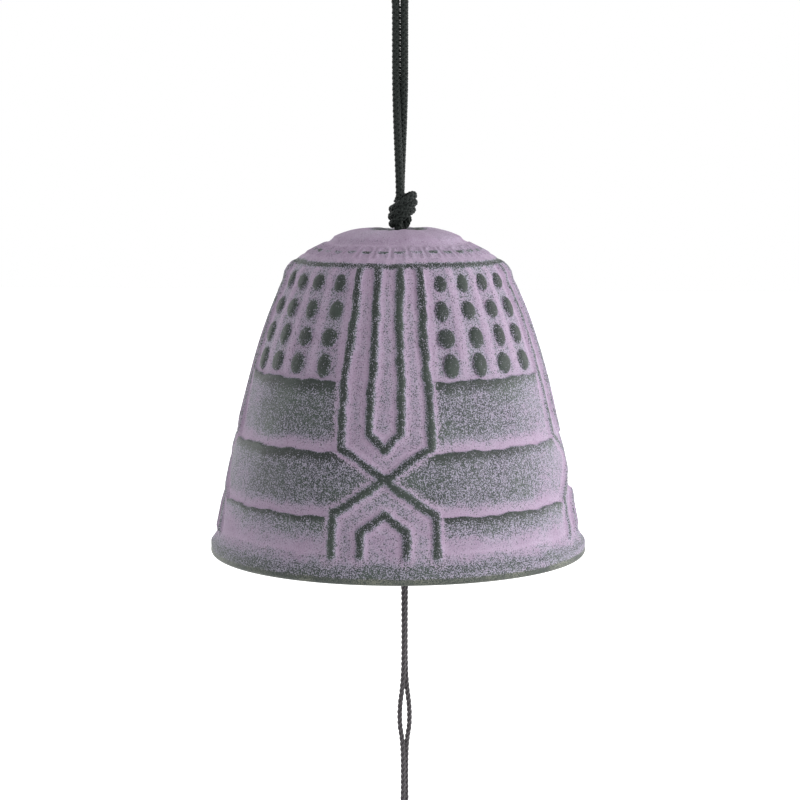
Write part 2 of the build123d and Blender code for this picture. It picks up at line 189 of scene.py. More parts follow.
def rubbed_lilac_iron_painted_light():
    """Matte lilac paint on cast iron, rubbed back to dark iron where the relief stands out, with painted
    light and shade in the rub and painted highlights in the lilac.
    """
    material, tree, shader, place = new_material("rubbed_lilac_iron_painted_light")
    grain = place_group(tree, cast_grain, place, Grain_Size=0.75, Speckle_Size=0.2)
    # The first attribute is the rub of raised relief plus painted light towards the outlines, and painted
    # shade round the crown hole and on the left of the upper tiers and lip.
    proud = add_node(tree, "ShaderNodeAttribute", attribute_name="proud").outputs["Fac"]
    bare = add_node(tree, "ShaderNodeAttribute", attribute_name="bare").outputs["Fac"]
    pale = add_node(tree, "ShaderNodeAttribute", attribute_name="pale").outputs["Fac"]
    fine = math_node(tree, "MULTIPLY_ADD", grain.outputs["Speckle"], 3.6, -1.8)
    coarse = math_node(tree, "MULTIPLY_ADD", grain.outputs["Grain"], 1.0, -0.5)
    patchy = math_node(tree, "MULTIPLY_ADD", grain.outputs["Patches"], 0.8, -0.4)
    broad = math_node(tree, "ADD", coarse, patchy)
    uneven = math_node(tree, "ADD", fine, broad)
    film = ease(tree, math_node(tree, "ADD", proud, broad), 0.05, 0.75)
    rub_and_light_share = ease(tree, math_node(tree, "ADD", proud, uneven), 0.36, 0.88)
    edge = ease(tree, math_node(tree, "MULTIPLY_ADD", uneven, 0.35, bare), 0.3, 0.75)
    patch_share = ease(tree, grain.outputs["Patches"], 0.3, 0.7)
    lilac = mix_colour(tree, patch_share, LILAC, LIGHT_LILAC)
    lilac = mix_colour(tree, math_node(tree, "MULTIPLY", film, 0.75), lilac, GREY_FILM)
    # The pale attribute mixes in painted highlight along relief edges, tier feet, boss rims, band edges and
    # between boss columns.
    lilac = mix_colour(tree, math_node(tree, "MULTIPLY", pale, 0.5), lilac, PAINTED_HIGHLIGHT_LILAC)
    dusty = ease(tree, grain.outputs["Speckle"], 0.52, 0.36)
    lilac = mix_colour(tree, math_node(tree, "MULTIPLY", dusty, 0.3), lilac, PAINT_DUST)
    # Lighter olive patches in the iron: partly its own tone, partly painted sheen.
    iron = mix_colour(tree, patch_share, RUBBED_IRON, OLIVE_IRON_PAINTED_SHEEN)
    even = math_node(tree, "MULTIPLY_ADD", patch_share, -0.4, 0.85)
    deep = math_node(tree, "MULTIPLY", ease(tree, proud, 0.75, 1.1), even)
    iron = mix_colour(tree, deep, iron, DEEP_IRON)
    worn_edge = mix_colour(tree, patch_share, WORN_DARK, WORN_LIGHT)
    edge_iron = mix_colour(tree, ease(tree, grain.outputs["Speckle"], 0.4, 0.62), worn_edge, EDGE_IRON)
    painted = mix_colour(tree, rub_and_light_share, lilac, iron)
    tree.links.new(mix_colour(tree, edge, painted, edge_iron), shader.inputs["Base Color"])
    dark = math_node(tree, "MAXIMUM", rub_and_light_share, edge)
    tree.links.new(math_node(tree, "MULTIPLY_ADD", dark, -0.22, 0.74), shader.inputs["Roughness"])
    tree.links.new(math_node(tree, "MULTIPLY", edge, 0.35), shader.inputs["Metallic"])
    shader.inputs["Specular IOR Level"].default_value = 0.35
    height = math_node(tree, "ADD", grain.outputs["Grain"], grain.outputs["Speckle"])
    bump_into(tree, shader, height, 0.6, 0.00014)
    return material


def bare_iron():
    """Satin dark cast iron."""
    material, tree, shader, place = new_material("bare_cast_iron")
    grain = place_group(tree, cast_grain, place, Grain_Size=0.7, Speckle_Size=0.3)
    share = ease(tree, grain.outputs["Patches"], 0.3, 0.75)
    tone = mix_colour(tree, share, BARE_DARK, BARE_LIGHT)
    tree.links.new(tone, shader.inputs["Base Color"])
    rough = math_node(tree, "MULTIPLY_ADD", grain.outputs["Speckle"], 0.3, 0.32)
    tree.links.new(rough, shader.inputs["Roughness"])
    shader.inputs["Metallic"].default_value = 0.4
    bump_into(tree, shader, grain.outputs["Grain"], 0.4, 0.00015)
    return material


def yarn(name, dark, light, fibre_size):
    """Matte spun yarn with fine fibres."""
    material, tree, shader, place = new_material(name)
    fibre = place_group(tree, fibre_tone, place, Fibre_Size=fibre_size, Shade_Size=2.2)
    share = math_node(tree, "MULTIPLY_ADD", fibre.outputs["Fibre"], 1.3, -0.35, clamp=True)
    tone = mix_colour(tree, share, dark, light)
    shade = math_node(tree, "MULTIPLY", fibre.outputs["Shade"], 0.4)
    tree.links.new(mix_colour(tree, shade, tone, dark), shader.inputs["Base Color"])
    rough = math_node(tree, "MULTIPLY_ADD", fibre.outputs["Fibre"], 0.2, 0.62)
    tree.links.new(rough, shader.inputs["Roughness"])
    shader.inputs["Sheen Weight"].default_value = 0.06
    shader.inputs["Specular IOR Level"].default_value = 0.3
    bump_into(tree, shader, fibre.outputs["Fibre"], 0.5, 0.00006)
    return material


def washi():
    """Blank washi paper with long fibres and soft clouding."""
    material, tree, shader, place = new_material("washi_paper")
    fibre = place_group(tree, fibre_tone, place, Fibre_Size=0.5, Shade_Size=14.0)
    drawn = add_node(tree, "ShaderNodeMapping", {"Vector": place, "Scale": (900.0, 900.0, 160.0)})
    drawn.inputs["Rotation"].default_value = (0.0, radians(24), 0.0)
    crossed = add_node(tree, "ShaderNodeMapping", {"Vector": place, "Scale": (180.0, 900.0, 1100.0)})
    crossed.inputs["Rotation"].default_value = (0.0, radians(-18), 0.0)
    strands = ease(tree, noise(tree, drawn.outputs[0], 1.0, 3.0, 0.6), 0.62, 0.74)
    strands_across = ease(tree, noise(tree, crossed.outputs[0], 1.0, 3.0, 0.6), 0.64, 0.76)
    fibres = math_node(tree, "MAXIMUM", strands, strands_across)
    cloud = mix_colour(tree, fibre.outputs["Shade"], PAPER_DARK, PAPER_LIGHT)
    paper = mix_colour(tree, math_node(tree, "MULTIPLY", fibres, 0.5), cloud, PAPER_FIBRE)
    tree.links.new(paper, shader.inputs["Base Color"])
    rough = math_node(tree, "MULTIPLY_ADD", fibre.outputs["Fibre"], 0.15, 0.75)
    tree.links.new(rough, shader.inputs["Roughness"])
    height = math_node(tree, "ADD", fibres, fibre.outputs["Fibre"])
    bump_into(tree, shader, height, 0.3, 0.0001)
    return material


lilac_with_painted_light = rubbed_lilac_iron_painted_light()
iron_finish = bare_iron()
cord_finish = yarn("dark_green_braid", BRAID_DARK, BRAID_LIGHT, 0.14)
string_finish = yarn("grey_twisted_string", STRING_DARK, STRING_LIGHT, 0.11)
paper_finish = washi()


# Pieces

def place_piece(name, mesh, material, body, slot, *nodes):
    """Links a finished mesh as a piece that rides on a body and stands for CAD nodes."""
    piece = bpy.data.objects.new(name, mesh)
    scene.collection.objects.link(piece)
    if material and not mesh.materials:
        mesh.materials.append(material)
    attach(piece, body)
    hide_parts(*nodes)
    return piece


def grid_mesh(name, rings):
    """Closed quad mesh of rings of points in millimetres, whose last ring joins its first."""
    rows, around = rings.shape[:2]
    spots = np.arange(rows * around).reshape(rows, around)
    following = np.roll(spots, -1, axis=1)
    faces = []
    for low in range(rows):
        high = (low + 1) % rows
        faces.append(np.stack([spots[low], following[low], following[high], spots[high]], axis=1))
    mesh = bpy.data.meshes.new(name)
    mesh.from_pydata((rings.reshape(-1, 3) * MM).tolist(), [], np.concatenate(faces).tolist())
    mesh.update()
    return mesh


def store(mesh, name, values):
    """Keeps one number for each point of a mesh."""
    layer = mesh.attributes.new(name, "FLOAT", "POINT")
    layer.data.foreach_set("value", np.ascontiguousarray(values, dtype=np.float32).ravel())


# Bell shell, in heights above the rim

SKIRT, SHOULDER = 4.6, 51.4
SKIRT_RADIUS, SHOULDER_RADIUS = 31.9, 18.35
STRAP_ANGLE, TONGUE_ANGLE, HOUSE_ANGLE, ARCH_ANGLE = 15.75, 5.55, 16.2, 7.0
CROSS_TOP, CROSS, HOUSE_TOP = 22.2, 17.2, 11.3
STRAP_TOP, STRAP_FOOT = 53.0, 4.4
TONGUE_BEND, TONGUE_TIP, ARCH_BEND, ARCH_TIP = 24.6, 22.0, 8.7, 11.1
UPPER_TIER, MIDDLE_TIER, LOWER_TIER = 33.1, 21.5, 10.8
TIERS = [(UPPER_TIER, MIDDLE_TIER), (MIDDLE_TIER, LOWER_TIER), (LOWER_TIER, SKIRT)]
RIDGE_RISE, TIER_RISE, COLUMN_RISE, PETAL_RISE = 0.64, 0.5, 0.12, 0.2
RIDGE_RUB, TIER_RUB, TIER_EDGE_RUB, PANEL_RUB, FIELD_RUB = 1.18, 0.74, 0.5, 0.31, 0.39
BOSS_PITCH, BOSS_ROWS, BOSS_COLUMNS = 13.3, 4, 4
BOSS_TOP, BOSS_DROP, BOSS_GROWTH = 49.1, 4.5, 0.2
BOSS_WIDTH, BOSS_LENGTH, BOSS_RISE = 2.65, 3.55, 0.62
CROWN_TOP, CROWN_UNDERSIDE, CROWN_HOLE, SEAT_RADIUS = 57.7, 53.3, 1.9, 5.5
CAP_START, CAP_RADIUS, CAP_EDGE = 4.1, 11.2, 56.2
BAND_START, BAND_END, BAND_TOP, BAND_FOOT = 12.1, 16.6, 55.3, 53.1
RIM_RADIUS, LIP_TOP, LIP_EDGE = 33.5, 2.0, 0.7
WALL, DOME_FOOT, DOME_REACH = 3.0, 44.0, 12.6
PETALS, PETAL_MIDDLE, PETAL_HALF = 32, 14.4, 0.95
AROUND, TIER_MARGIN, ROW_COUNTS = 512, 0.4, [24, 5, 20, 5, 22, 5, 12]


def body_radius(height):
    """Radius of the cast wall under the relief."""
    share = np.maximum(height - SKIRT, 0.0) / (SHOULDER - SKIRT)
    lean = 0.72 * share + 0.28 * share ** 4.2
    return SKIRT_RADIUS - (SKIRT_RADIUS - SHOULDER_RADIUS) * lean


def on_wall(angle, height):
    """A point of the wall as seen from in front of its strap."""
    return float(body_radius(np.float64(height))) * sin(radians(angle)), height


def run_distance(x, z, route):
    """Distance from points to the nearest run of a route."""
    nearest = np.full(x.shape, 1e3)
    for (ax, az), (bx, bz) in zip(route, route[1:]):
        dx, dz = bx - ax, bz - az
        share = np.clip(((x - ax) * dx + (z - az) * dz) / (dx * dx + dz * dz), 0.0, 1.0)
        nearest = np.minimum(nearest, np.hypot(x - ax - share * dx, z - az - share * dz))
    return nearest


def mirrored(route):
    """A route on the other side of its strap."""
    return [(-x, z) for x, z in route]


strap_line = [
    on_wall(-STRAP_ANGLE, STRAP_TOP), on_wall(-STRAP_ANGLE, UPPER_TIER), on_wall(-STRAP_ANGLE, CROSS_TOP),
    (0.0, CROSS), on_wall(HOUSE_ANGLE, HOUSE_TOP), on_wall(HOUSE_ANGLE, STRAP_FOOT),
]
tongue_half = [on_wall(-TONGUE_ANGLE, STRAP_TOP), on_wall(-TONGUE_ANGLE, TONGUE_BEND), (0.0, TONGUE_TIP)]
arch_half = [on_wall(-ARCH_ANGLE, STRAP_FOOT), on_wall(-ARCH_ANGLE, ARCH_BEND), (0.0, ARCH_TIP)]
ridge_lines = [strap_line, tongue_half, arch_half]
ridge_lines += [mirrored(route) for route in ridge_lines]


def strap_reach(height):
    """Half width of a strap, which closes at its crossing and opens again into the house below."""
    wall = body_radius(height)
    straight = wall * sin(radians(STRAP_ANGLE))
    house = wall * sin(radians(HOUSE_ANGLE))
    closing = straight * (height - CROSS) / (CROSS_TOP - CROSS)
    opening = house * (CROSS - height) / (CROSS - HOUSE_TOP)
    below = np.where(height > HOUSE_TOP, opening, house)
    return np.where(height > CROSS_TOP, straight, np.where(height > CROSS, closing, below))


def wall_relief(angle, height, turn):
    """Rise, rub and painted highlight of the side, with the drift of a hand-cut mould.

    Angles are from the nearest strap and turns from the front one; the rub thins out towards both sides,
    painted light on the outlines as seen from the front, and leans by side, painted light and shade.
    """
    x = body_radius(height) * np.sin(np.radians(angle))
    x = x + 0.12 * np.sin(9 * turn + 0.31 * height) + 0.07 * np.sin(23 * turn - 0.9 * height + 1.0)
    height = height + 0.13 * np.sin(17 * turn + 0.4 * height) + 0.1 * np.sin(43 * turn + 0.2 * height + 2.0)
    gap = np.full(x.shape, 1e3)
    for route in ridge_lines:
        gap = np.minimum(gap, run_distance(x, height, route))
    gap = gap + 0.1 * np.sin(1.7 * height + 0.21 * angle) * np.sin(0.45 * height - 0.5 * angle)
    gap = gap + 0.12 * np.sin(3.9 * height + 2.1 * x + 3 * turn) * np.sin(3.1 * x - 2.6 * height)
    rise = RIDGE_RISE * smooth(1.0, 0.35, gap)
    sideways = np.sin(turn)
    # Towards both outlines as seen from the front the ridge rub weakens and narrows: painted light on the
    # sides.
    limb = smooth(0.7, 0.97, np.abs(sideways))
    faint = smooth(0.88, 0.98, np.abs(sideways))
    rub_and_light_share = (RIDGE_RUB - 0.3 * faint) * smooth(1.04 - 0.34 * faint, 0.24 - 0.04 * faint, gap)
    # Paler lilac just beside the ridges: painted highlight on their flanks.
    pale = smooth(0.8, 1.1, gap) * smooth(2.2, 1.2, gap)
    inside = smooth(0.1, 0.5, np.abs(x) - strap_reach(height))
    margin = smooth(0.9, 1.9, gap)
    # These scale the tier rub by side as seen from the front: lighter towards both outlines, painted light;
    # the upper tiers lighter on the right and darker on the left, painted light and shade; the lowest tier
    # darker on the right.
    side_light_limb_scale = 1.03 - 0.12 * sideways - 0.4 * limb
    lowest_side_limb_scale = 1.0 + 0.16 * sideways - 0.4 * limb
    for top, bottom in TIERS:
        below = (top - height) / (top - bottom)
        tier = np.where((below >= 0.0) & (below < 1.0), 1.0 - 1.25 * below, 0.0)
        lead = smooth(-0.02, 0.02, below) * (below < 1.0)
        rise = np.maximum(rise, TIER_RISE * tier * lead * inside)
        lowest = bottom == SKIRT
        fade = 1.0 - (smooth(0.15, 0.95, below) if lowest else smooth(0.7, 1.02, below))
        strong = TIER_RUB * (lowest_side_limb_scale if lowest else side_light_limb_scale) * fade
        # The rub at each tier's top edge is lighter on the right and darker on the left: painted light and
        # shade.
        strong = TIER_EDGE_RUB * (1.0 - 0.2 * sideways) * (1.0 - smooth(0.02, 0.22, below)) + strong
        rub_and_light_share = np.maximum(rub_and_light_share, lead * strong * inside * smooth(0.8, 1.6, gap))
        # Paler lilac at each tier's foot, just above the next edge: painted highlight.
        pale = np.maximum(pale, 0.8 * lead * smooth(0.8, 0.98, below) * inside)
    panel = PANEL_RUB * (1.0 - inside) * margin
    in_field = inside * smooth(UPPER_TIER + 0.3, UPPER_TIER + 1.3, height)
    column = np.cos(2 * pi * (np.abs(angle) - 45.0) / BOSS_PITCH)
    rise = rise + COLUMN_RISE * smooth(0.3, 1.0, column) * in_field * margin
    # Between boss columns the field is paler and rubs less: painted highlight on the raised strips.
    pale = np.maximum(pale, 0.7 * smooth(0.4, 0.95, column) * in_field)
    field = (FIELD_RUB - 0.23 * smooth(0.2, 0.9, column)) * in_field * margin
    return rise, np.maximum(np.maximum(rub_and_light_share, panel), field), pale


def spaced(low, high, steps):
    """Steps from low up to, but not with, high."""
    return [low + (high - low) * step / steps for step in range(steps)]


def side_heights():
    """Rows of the side, closer at the tiers' top edges."""
    stops = [SHOULDER]
    for top, _ in TIERS:
        stops += [top + TIER_MARGIN, top - TIER_MARGIN]
    stops.append(SKIRT)
    rows = []
    for high, low, count in zip(stops, stops[1:], ROW_COUNTS):
        rows += spaced(high, low, count)
    return rows


profile = []
sink = [(CROWN_HOLE, CROWN_UNDERSIDE), (CROWN_HOLE, 54.4), (CROWN_HOLE, 55.6), (2.5, 56.3), (3.3, 57.1)]
profile += [(radius, height, "hole") for radius, height in sink]
for turn in spaced(0.0, 1.0, 10):
    drop = (CROWN_TOP - CAP_EDGE) * (0.18 * turn + 0.82 * turn ** 2.6)
    worn_lip = 0.25 * (1 - turn) ** 6
    profile.append((CAP_START + (CAP_RADIUS - CAP_START) * turn, CROWN_TOP - drop - worn_lip, "cap"))
for turn in spaced(0.0, 1.0, 6):
    radius = CAP_RADIUS + (BAND_START - CAP_RADIUS) * turn
    profile.append((radius, CAP_EDGE - (CAP_EDGE - BAND_TOP) * turn ** 0.8, "step"))
for turn in spaced(0.0, 1.0, 17):
    radius = BAND_START + (BAND_END - BAND_START) * turn
    profile.append((radius, BAND_TOP - (BAND_TOP - BAND_FOOT) * turn ** 1.1, "band"))
ring_curve = [
    (BAND_END, BAND_FOOT), (16.9, 52.97), (17.2, 52.78), (17.45, 52.58),
    (17.7, 52.36), (17.92, 52.13), (18.12, 51.9), (18.28, 51.66),
]
profile += [(radius, height, "ring") for radius, height in ring_curve]
for height in side_heights():
    collar = 0.4 * float(smooth(48.6, 49.8, np.float64(height)) * smooth(51.5, 50.3, np.float64(height)))
    profile.append((float(body_radius(np.float64(height))) + collar, height, "side"))
for turn in spaced(0.0, 1.0, 6):
    radius = SKIRT_RADIUS + (RIM_RADIUS - SKIRT_RADIUS) * turn ** 1.2
    profile.append((radius, SKIRT - (SKIRT - LIP_TOP) * turn, "flare"))
for turn in spaced(0.0, 1.0, 6):
    profile.append((RIM_RADIUS, LIP_TOP - (LIP_TOP - LIP_EDGE) * turn, "lip"))
for turn in spaced(0.0, 1.0, 5):
    radius = RIM_RADIUS - LIP_EDGE + LIP_EDGE * cos(turn * pi / 2)
    profile.append((radius, LIP_EDGE - LIP_EDGE * sin(turn * pi / 2), "rim"))
profile += [(32.2, 0.0, "rim"), (30.7, 0.05, "inner"), (30.1, 0.5, "inner")]
for height in spaced(2.5, DOME_FOOT, 9):
    profile.append((float(body_radius(np.float64(max(height, SKIRT)))) - WALL, height, "inner"))
for turn in spaced(0.0, 1.0, 6):
    angle = turn * pi / 2
    height = DOME_FOOT + (CROWN_UNDERSIDE - DOME_FOOT) * sin(angle)
    profile.append((SEAT_RADIUS + DOME_REACH * cos(angle) ** 0.8, height, "inner"))
profile += [(SEAT_RADIUS, CROWN_UNDERSIDE, "inner"), (3.6, CROWN_UNDERSIDE, "inner")]

radii = np.array([p[0] for p in profile])
heights = np.array([p[1] for p in profile])
kinds = np.array([p[2] for p in profile])
turns = 2 * pi * np.arange(AROUND) / AROUND
strap_angles = (np.degrees(turns) + 45.0) % 90.0 - 45.0
grid_angle, grid_height = np.meshgrid(strap_angles, heights)
grid_radius = np.repeat(radii[:, None], AROUND, axis=1)
rise = np.zeros(grid_radius.shape)
rub_and_light_share = np.zeros(grid_radius.shape)
bare = np.zeros(grid_radius.shape)
pale = np.zeros(grid_radius.shape)
side = np.isin(kinds, ("side", "flare", "ring"))
grid_turn = np.repeat(turns[None, :], len(profile), axis=0)
rise[side], rub_and_light_share[side], pale[side] = wall_relief(grid_angle[side], grid_height[side], grid_turn[side])
flare = kinds == "flare"
rise[flare] *= smooth(3.6, SKIRT, grid_height[flare])
flare_rub = 0.28 + 0.42 * smooth(4.2, 2.4, grid_height[flare])
rub_and_light_share[flare] = np.maximum(rub_and_light_share[flare] * smooth(3.2, SKIRT, grid_height[flare]), flare_rub)
# The lip rubs darker on the left and lighter on the right: painted shade and light.
rub_and_light_share[kinds == "lip"] = 0.7 - 0.18 * np.sin(turns)
ring = kinds == "ring"
rise[ring] *= smooth(52.3, 51.4, grid_height[ring])
ring_line = smooth(51.5, 51.8, grid_height[ring]) * smooth(52.75, 52.3, grid_height[ring])
rub_and_light_share[ring] = np.maximum(rub_and_light_share[ring] * smooth(52.6, 52.0, grid_height[ring]), 1.05 * ring_line)
# The hole's sink and the cap's innermost ring are dark: painted shade round the foot of the crown knot.
rub_and_light_share[kinds == "hole"] = 1.2
rub_and_light_share[kinds == "cap"] = 1.1 * smooth(5.3, 4.5, grid_radius[kinds == "cap"])
bare[kinds == "rim"] = 1.0
bare[kinds == "inner"] = 1.0
bare[kinds == "lip"] = smooth(1.9, 0.7, grid_height[kinds == "lip"])
band = kinds == "band"
petal_turn = (np.degrees(turns) * PETALS / 360.0) % 1.0 - 0.5
petal_x = petal_turn[None, :] * 2 * pi * grid_radius[band] / PETALS
petal_z = PETAL_MIDDLE - grid_radius[band]
arch_gap = np.where(
    petal_z < 0.35,
    np.abs(np.abs(petal_x) - PETAL_HALF),
    np.abs(np.hypot(petal_x, (petal_z - 0.35) * 0.9) - PETAL_HALF),
)
bead = smooth(0.55, 0.28, np.hypot(petal_x * 0.42, petal_z + 0.3))
petal = np.maximum(smooth(0.42, 0.12, arch_gap), bead)
petal *= smooth(2.1, 1.6, np.abs(petal_z))
worn = 0.75 + 0.35 * np.sin(5 * turns + 0.4) * np.sin(11 * turns + 1.9)
rise[band] = PETAL_RISE * petal
rub_and_light_share[band] = np.maximum(1.15 * bead * worn[None, :], 0.12 * petal)
# Paler edges along the petal band: painted highlight.
pale[band] = 0.5 * smooth(1.2, 2.0, np.abs(petal_z))

wave = turns[None, :]
wobble = 0.10 * np.sin(3 * wave + 0.7) * np.sin(grid_height / 9.0 + 1.3)
wobble += 0.06 * np.sin(7 * wave + 2.1 + grid_height / 6.0) + 0.035 * np.sin(19 * wave - grid_height / 2.6)
outer = np.isin(kinds, ("cap", "step", "band", "ring", "side", "flare", "lip"))
rise += wobble * outer[:, None]
along_r = np.gradient(radii)
along_z = np.gradient(heights)
size = np.hypot(along_r, along_z)
normal_r = np.where(outer, -along_z / size, 0.0)[:, None]
normal_z = np.where(outer, along_r / size, 0.0)[:, None]
shell_r = grid_radius + rise * normal_r
shell_z = grid_height + rise * normal_z
shell_rings = np.stack([shell_r * np.sin(wave), -shell_r * np.cos(wave), shell_z + RIM_Z], axis=2)
bell_mesh = grid_mesh("bell_shell", shell_rings)
bell_mesh.flip_normals()
# The first store holds the rub with its painted light and shade, the last the painted highlight.
store(bell_mesh, "proud", rub_and_light_share)
store(bell_mesh, "bare", bare)
store(bell_mesh, "pale", pale)

# Bosses: one oval dome, set on points of the wall by Geometry Nodes

def boss_dome():
    """A low oval dome of a unit's length and width, with its rub stored."""
    rings = [(1.0, -0.45), (0.98, 0.0), (0.9, 0.4), (0.74, 0.75), (0.5, 0.95), (0.22, 1.0)]
    around = 18
    points = []
    for share, rise_share in rings:
        for step in range(around):
            turn = 2 * pi * step / around
            points.append((0.5 * share * cos(turn), 0.5 * share * sin(turn), rise_share))
    points.append((0.0, 0.0, 1.0))
    faces = []
    for row in range(len(rings) - 1):
        for step in range(around):
            after = (step + 1) % around
            low, high = row * around, (row + 1) * around
            faces.append((low + step, low + after, high + after, high + step))
    faces.append(tuple(reversed(range(around))))
    last = (len(rings) - 1) * around
    faces += [(last + step, last + (step + 1) % around, len(points) - 1) for step in range(around)]
    mesh = bpy.data.meshes.new("boss_dome")
    mesh.from_pydata(points, [], faces)
    rubs = [0.1, 0.5, 0.85, 1.1, 1.25, 1.3]
    store(mesh, "proud", np.append(np.repeat(rubs, around), rubs[-1]))
    store(mesh, "bare", [0.0] * len(points))
    # A paler ring round each boss's foot: painted highlight.
    store(mesh, "pale", [0.6] * (2 * around) + [0.0] * (len(points) - 2 * around))
    return mesh


def boss_points():
    """One point for each boss, with its turn, lean and sizes."""
    places, leans, turns_z, widths, lengths = [], [], [], [], []
    for quarter in range(4):
        for row in range(BOSS_ROWS):
            height = BOSS_TOP - BOSS_DROP * row
            radius = float(body_radius(np.float64(height)))
            slope = float(body_radius(np.float64(height - 1)) - body_radius(np.float64(height + 1))) / 2
            growth = 1 + BOSS_GROWTH * row / (BOSS_ROWS - 1)
            for column in range(BOSS_COLUMNS):
                turn = radians(90 * quarter + 45 + BOSS_PITCH * (column - (BOSS_COLUMNS - 1) / 2))
                uneven = sin(7.1 * turn + 2.3 * row)
                turn += radians(0.7 * sin(5.3 * turn + 1.9 * row))
                places.append((radius * sin(turn), -radius * cos(turn), height + RIM_Z))
                leans.append(pi / 2 - np.arctan(slope))
                turns_z.append(turn)
                widths.append(BOSS_WIDTH * growth * (1 + 0.11 * uneven))
                lengths.append(BOSS_LENGTH * growth * (1 - 0.08 * uneven))
    mesh = bpy.data.meshes.new("boss_points")
    mesh.from_pydata((np.array(places) * MM).tolist(), [], [])
    for name, values in (("lean", leans), ("turn", turns_z), ("width", widths), ("length", lengths)):
        store(mesh, name, values)
    return mesh


def tree_socket(tree, name, kind):
    """Adds a named input to a Geometry Nodes tree and returns its identifier."""
    return tree.interface.new_socket(name, in_out="INPUT", socket_type=kind).identifier


def named_value(tree, name):
    """A number kept for each point."""
    node = add_node(tree, "GeometryNodeInputNamedAttribute", {"Name": name}, data_type="FLOAT")
    return node.outputs["Attribute"]


def end_tree(tree, geometry, material):
    """Realizes, paints and puts out the geometry."""
    real = add_node(tree, "GeometryNodeRealizeInstances", {"Geometry": geometry})
    painted = add_node(tree, "GeometryNodeSetMaterial", {"Geometry": real.outputs[0], "Material": material})
    out = tree.nodes.new("NodeGroupOutput")
    tree.interface.new_socket("Geometry", in_out="OUTPUT", socket_type="NodeSocketGeometry")
    tree.links.new(painted.outputs[0], out.inputs["Geometry"])


def studded_shell_tree():
    """Sets a dome on every boss point and joins the shell to them."""
    tree = bpy.data.node_groups.new("studded_shell", "GeometryNodeTree")
    tree_socket(tree, "Geometry", "NodeSocketGeometry")
    names = {
        "Shell": tree_socket(tree, "Shell", "NodeSocketObject"),
        "Dome": tree_socket(tree, "Dome", "NodeSocketObject"),
        "Rise": tree_socket(tree, "Rise", "NodeSocketFloat"),
        "Finish": tree_socket(tree, "Finish", "NodeSocketMaterial"),
    }
    source = tree.nodes.new("NodeGroupInput").outputs
    dome = add_node(tree, "GeometryNodeObjectInfo", {"Object": source["Dome"]}).outputs["Geometry"]
    shell = add_node(tree, "GeometryNodeObjectInfo", {"Object": source["Shell"]}).outputs["Geometry"]
    points = add_node(tree, "GeometryNodeMeshToPoints", {"Mesh": source["Geometry"]}).outputs[0]
    angles = {"X": named_value(tree, "lean"), "Z": named_value(tree, "turn")}
    turn = add_node(tree, "ShaderNodeCombineXYZ", angles)
    wide = math_node(tree, "MULTIPLY", named_value(tree, "width"), MM)
    tall = math_node(tree, "MULTIPLY", named_value(tree, "length"), MM)
    scale = add_node(tree, "ShaderNodeCombineXYZ", {"X": wide, "Y": tall, "Z": source["Rise"]})
    links = {"Points": points, "Instance": dome, "Rotation": turn.outputs[0], "Scale": scale.outputs[0]}
    studs = add_node(tree, "GeometryNodeInstanceOnPoints", links).outputs["Instances"]
    joined = tree.nodes.new("GeometryNodeJoinGeometry")
    tree.links.new(studs, joined.inputs[0])
    tree.links.new(shell, joined.inputs[0])
    end_tree(tree, joined.outputs[0], source["Finish"])
    return tree, names


def made_mesh(name, source, tree, values):
    """Runs a tree on an object and returns its result as a plain mesh; the object goes."""
    modifier = source.modifiers.new(tree.name, "NODES")
    modifier.node_group = tree
    for identifier, value in values.items():
        modifier[identifier] = value
    bpy.context.view_layer.update()
    evaluated = source.evaluated_get(bpy.context.evaluated_depsgraph_get())
    mesh = bpy.data.meshes.new_from_object(evaluated)
    mesh.name = name
    source.modifiers.remove(modifier)
    bpy.data.objects.remove(source)
    return mesh


def helper(name, data):
    """An object that only feeds a tree."""
    thing = bpy.data.objects.new(name, data)
    scene.collection.objects.link(thing)
    return thing


stud_tree, stud_names = studded_shell_tree()
shell_source = helper("shell_source", bell_mesh)
dome_source = helper("dome_source", boss_dome())
studded = made_mesh("bell_shell_skin", helper("boss_source", boss_points()), stud_tree, {
    stud_names["Shell"]: shell_source,
    stud_names["Dome"]: dome_source,
    stud_names["Rise"]: BOSS_RISE * MM,
    stud_names["Finish"]: lilac_with_painted_light,
})
bpy.data.objects.remove(shell_source)
bpy.data.objects.remove(dome_source)
studded.shade_smooth()
place_piece("bell_casting", studded, None, "bell", "lilac_iron", "bell_shell")


# Cords: yarns laid round a route by Geometry Nodes

